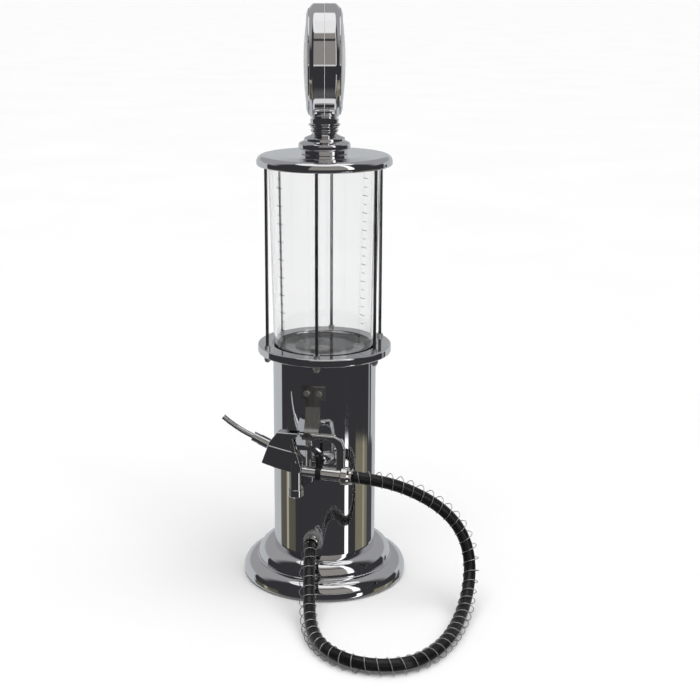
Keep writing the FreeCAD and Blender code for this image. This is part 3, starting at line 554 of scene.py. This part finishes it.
# Bands by bearing, in degrees from the front, each colour lasting until the next one.
FLOOR_BANDS = [
    (-180, PALE), (-119, LEFT_SHADE), (-113, LEFT_KHAKI), (-96, LEFT_STRIP), (-90, LEFT_KHAKI),
    (-70, DARK), (47, STRIPE), (55, DARK), (75, KHAKI), (97, RIGHT_STRIP),
    (103, KHAKI), (113, RIGHT_SHADE), (138, PALE),
]
WALL_BANDS = [(-180, PALE), (-112, DARK), (118, WALL_GREY), (124, DARK), (130, PALE)]
FRONT_BANDS = [(-180, PALE), (-112, DARK), (-26, BROWN), (40, WINDOW), (50, DARK), (118, PALE)]
WINDOW_BANDS = [(-180, BLACK), (-26, WHITE), (40, BLACK)]
CEILING_BANDS = [(-180, CEILING_WHITE), (-60, CEILING_FRONT), (60, CEILING_WHITE)]


def low_room(sky, share, height):
    """The floor, the walls and the front of the room, one above the other."""
    floor_to_wall = sky.smooth(height, -0.332, -0.322)
    room = sky.mix(
        floor_to_wall, sky.ramp(share, bands(FLOOR_BANDS, 0.6)), sky.ramp(share, bands(WALL_BANDS, 0.8))
    )
    wall_to_front = sky.smooth(height, -0.06, -0.04)
    return sky.mix(wall_to_front, room, sky.ramp(share, bands(FRONT_BANDS, 1.2)))


def sill_and_lintel(sky, room, share, height):
    """A pale sill and a dark lintel across the front."""
    sill = sky.maths("MULTIPLY", sky.smooth(height, -0.10, -0.085), sky.smooth(height, -0.035, -0.05))
    front = sky.ramp(share, bands(WINDOW_BANDS, 1.2))
    room = sky.mix(sky.maths("MULTIPLY", sill, front), room, SILL)
    lintel = sky.maths("MULTIPLY", sky.smooth(height, 0.69, 0.70), sky.smooth(height, 0.76, 0.75))
    return sky.mix(sky.maths("MULTIPLY", lintel, front), room, LINTEL)


def back_wall(sky, room, near, height):
    """A grey wall behind the object, above its middle."""
    backness = sky.maths("MULTIPLY", sky.smooth(height, 0.17, 0.30), sky.smooth(near, 0.1, -0.25))
    return sky.mix(backness, room, BACK_GREY)


def ceiling_and_ground(sky, room, share, near, height):
    """A white ceiling that comes lower at the back, and dark ground straight below."""
    ceiling = sky.ramp(share, bands(CEILING_BANDS, 12))
    edge = sky.maths("MULTIPLY_ADD", sky.smooth(near, 0.3, -0.3), -0.03, height)
    room = sky.mix(sky.smooth(edge, 0.865, 0.885), room, ceiling)
    below = sky.smooth(sky.maths("MULTIPLY", height, -1.0), 0.72, 0.9)
    return sky.mix(below, room, UNDER_GREY)


def make_sky():
    """The surroundings that the chrome reflects, painted by bearing and height from the camera's side."""
    sky = Sky()
    turn = math.radians(LOOK_FROM_DEGREES)
    right = sky.dot((math.cos(turn), math.sin(turn), 0))
    near = sky.dot((math.sin(turn), -math.cos(turn), 0))
    height = sky.dot((0, 0, 1))
    bearing = sky.maths("ARCTAN2", right, near)
    share = sky.maths("MULTIPLY_ADD", bearing, 1 / (2 * math.pi), 0.5)
    room = low_room(sky, share, height)
    room = sill_and_lintel(sky, room, share, height)
    room = back_wall(sky, room, near, height)
    room = ceiling_and_ground(sky, room, share, near, height)
    sky.link(room, sky.background.inputs["Color"])


def area_light(name, place, aim, wide, power):
    data = bpy.data.lights.new(name, "AREA")
    data.shape = "DISK"
    data.size = wide
    data.energy = power
    light = bpy.data.objects.new(name, data)
    light.location = place
    light.rotation_euler = (Vector(aim) - Vector(place)).to_track_quat("-Z", "Y").to_euler()
    light.visible_glossy = False
    bpy.context.scene.collection.objects.link(light)


def make_lights():
    sun = bpy.data.lights.new("soft_sky", "SUN")
    sun.energy = SUN_POWER
    sun.angle = math.radians(SUN_WIDE_DEGREES)
    above = bpy.data.objects.new("soft_sky", sun)
    above.rotation_euler = (math.radians(SUN_TILT_DEGREES[0]), math.radians(SUN_TILT_DEGREES[1]), 0)
    above.visible_glossy = False
    bpy.context.scene.collection.objects.link(above)
    area_light("front_fill", FILL_PLACE, FILL_AIM, FILL_WIDE, FILL_POWER)


# ---- all together ----


def finish_scene():
    make_camera()
    hose, coil, line = make_hose()
    materials = make_materials()
    paint_nodes(materials)

    paint(hose, materials["hose_rubber"])
    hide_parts("supply_hose")
    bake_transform(hose)

    paint(coil, materials["spring_wire"])
    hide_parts("hose_spring")
    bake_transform(coil)

    ticks = make_graduations()
    paint(ticks, moulded("graduation_ink_look", (0.06, 0.06, 0.065), 0.4, 0.6))
    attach(ticks, "stand")

    make_floor()
    make_sky()
    make_lights()
    bpy.context.scene.view_settings.view_transform = "Standard"


finish_scene()
